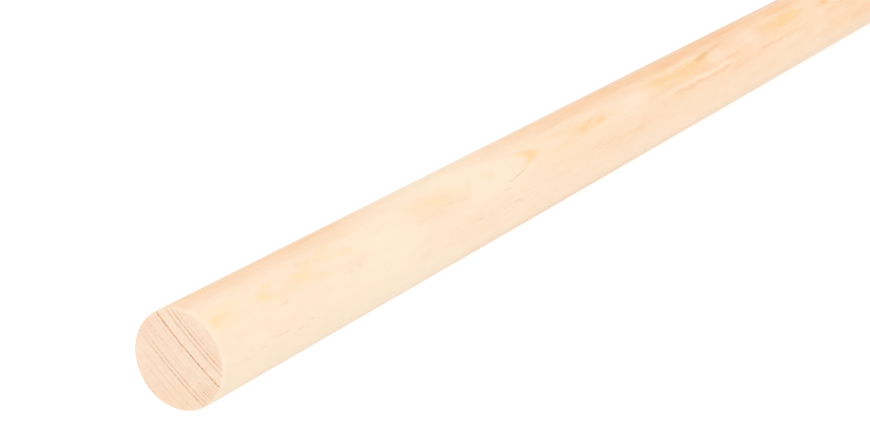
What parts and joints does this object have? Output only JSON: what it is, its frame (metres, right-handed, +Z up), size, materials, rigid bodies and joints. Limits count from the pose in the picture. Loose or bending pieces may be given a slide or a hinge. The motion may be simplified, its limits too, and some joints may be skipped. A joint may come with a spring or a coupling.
{
  "type": "wooden dowel rod",
  "caption": "Long round rod of pale softwood, turned to a constant diameter and cut square at both ends, with lightly rounded end edges.",
  "frame": {"origin": "centre of the near end face", "axes": "+X along the rod's axis from the near end to the far end, +Z up, with the rod held level"},
  "size_m": [0.6, 0.025, 0.025],
  "materials": {
    "pine": "bare wood, finely sanded, sawn across the grain at the ends"
  },
  "bodies": {
    "root": {"dowel_rod": "pine"}
  },
  "joints": []
}
